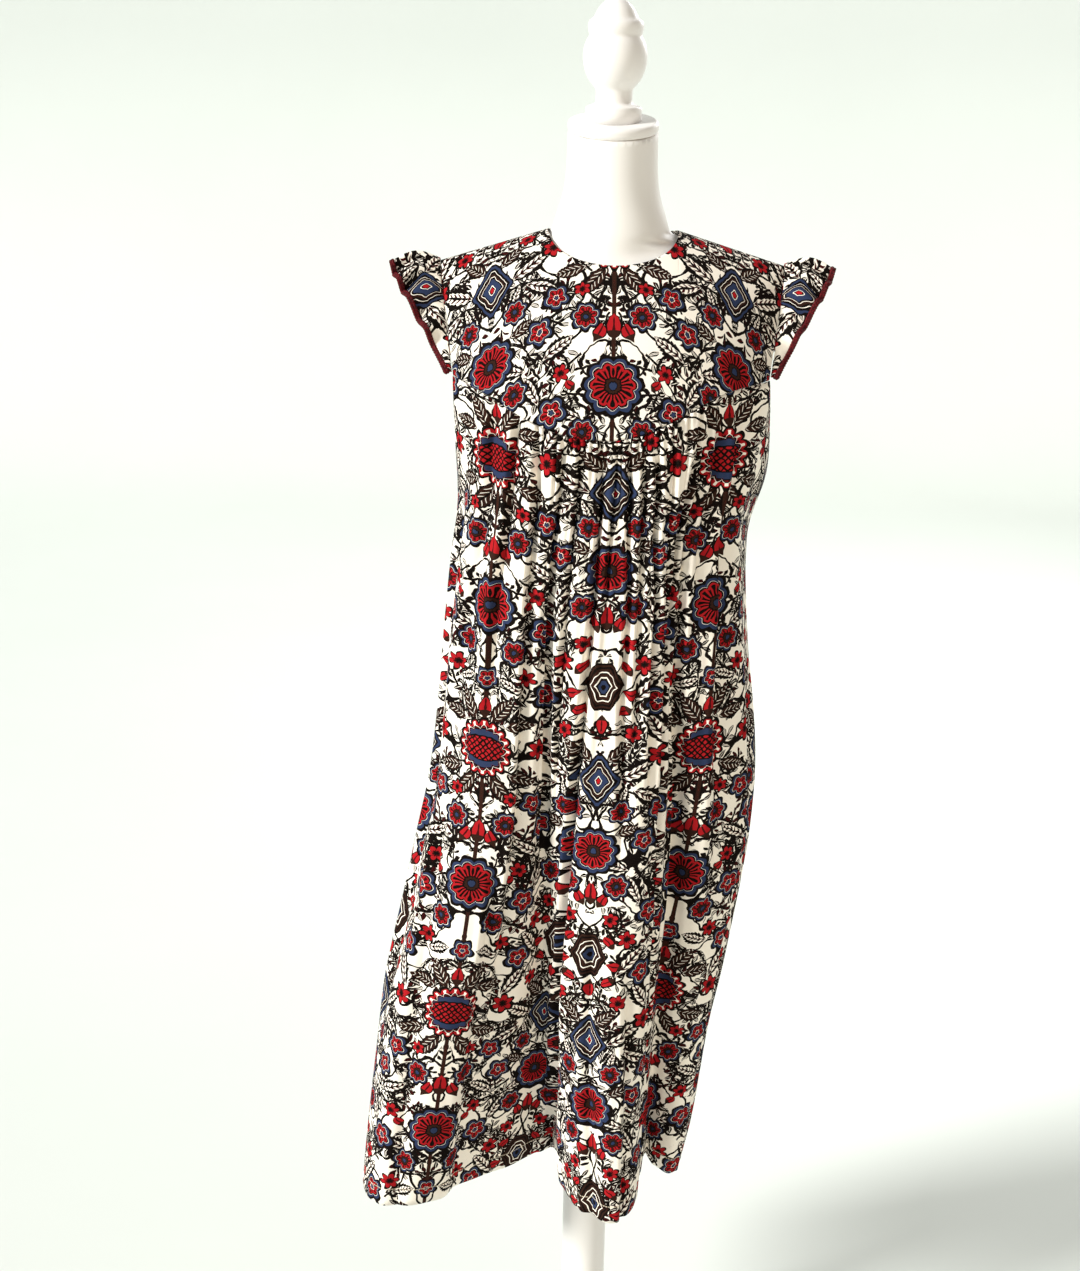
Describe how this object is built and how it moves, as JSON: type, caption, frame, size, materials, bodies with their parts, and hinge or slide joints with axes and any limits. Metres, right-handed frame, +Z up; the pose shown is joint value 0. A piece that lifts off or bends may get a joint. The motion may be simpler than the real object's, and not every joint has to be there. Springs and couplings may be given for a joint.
{
  "type": "muumuu on a dress form",
  "caption": "Knee-length A-line muumuu with a yoke, a gathered skirt and braid-edged frills at the armholes, on a limbless white dress form that stands on its base.",
  "frame": {"origin": "on the floor, on the axis of the dress form, at the middle of the base's underside", "axes": "+Z up, +X to the viewer's right when seen from the front, +Y to the back of the gown"},
  "size_m": [0.5262, 0.3268, 1.72],
  "materials": {
    "printed_cotton": "matt woven cotton with a crowded floral print in red, blue, brown and black on ivory",
    "maroon_braid": "narrow bumpy dark red braid",
    "thread": "thread loop",
    "pearl_button": "small pearly button",
    "form_shell": "smooth matt white shell",
    "painted_wood": "turned wood painted satin white",
    "painted_stand": "satin white paint"
  },
  "bodies": {
    "root": {"front_yoke": "printed_cotton", "back_yoke_left": "printed_cotton", "back_yoke_right": "printed_cotton", "front_skirt": "printed_cotton", "back_skirt": "printed_cotton", "sleeve_left": "printed_cotton", "sleeve_right": "printed_cotton", "sleeve_trim_left": "maroon_braid", "sleeve_trim_right": "maroon_braid", "button_loop": "thread", "back_button": "pearl_button", "form_torso": "form_shell", "neck_cap": "painted_wood", "finial": "painted_wood", "column": "painted_stand", "base": "painted_stand"}
  },
  "joints": []
}
